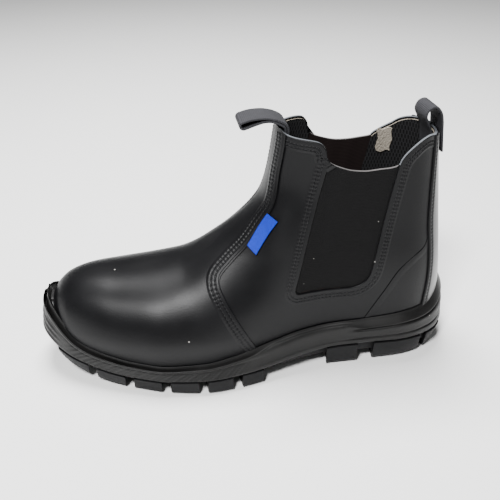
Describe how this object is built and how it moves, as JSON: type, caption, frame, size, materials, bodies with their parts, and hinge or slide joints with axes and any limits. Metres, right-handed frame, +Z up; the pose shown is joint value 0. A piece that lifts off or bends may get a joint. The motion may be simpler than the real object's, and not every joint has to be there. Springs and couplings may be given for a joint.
{
  "type": "safety boot",
  "caption": "Left pull-on ankle safety boot in black leather with elastic side gussets, webbing pull loops and a lugged sole.",
  "frame": {"origin": "centre of the boot's box in plan, on the floor under the tread", "axes": "+X towards the toe, +Y towards the outer side of the left foot, +Z up"},
  "size_m": [0.2992, 0.1136, 0.1804],
  "materials": {
    "leather": "smooth semi-gloss black leather",
    "midsole": "matt moulded polyurethane",
    "tread": "matt rubber",
    "insole": "dark woven lining",
    "elastic": "black ribbed elastic",
    "webbing": "black ribbed webbing",
    "tab": "woven blue tab"
  },
  "bodies": {
    "root": {"outsole": "tread", "midsole": "midsole", "insole": "insole", "upper": "leather", "gusset_lateral": "elastic", "gusset_medial": "elastic", "back_strip": "leather", "pull_loop_front": "webbing", "pull_loop_rear": "webbing", "side_tab": "tab"}
  },
  "joints": []
}
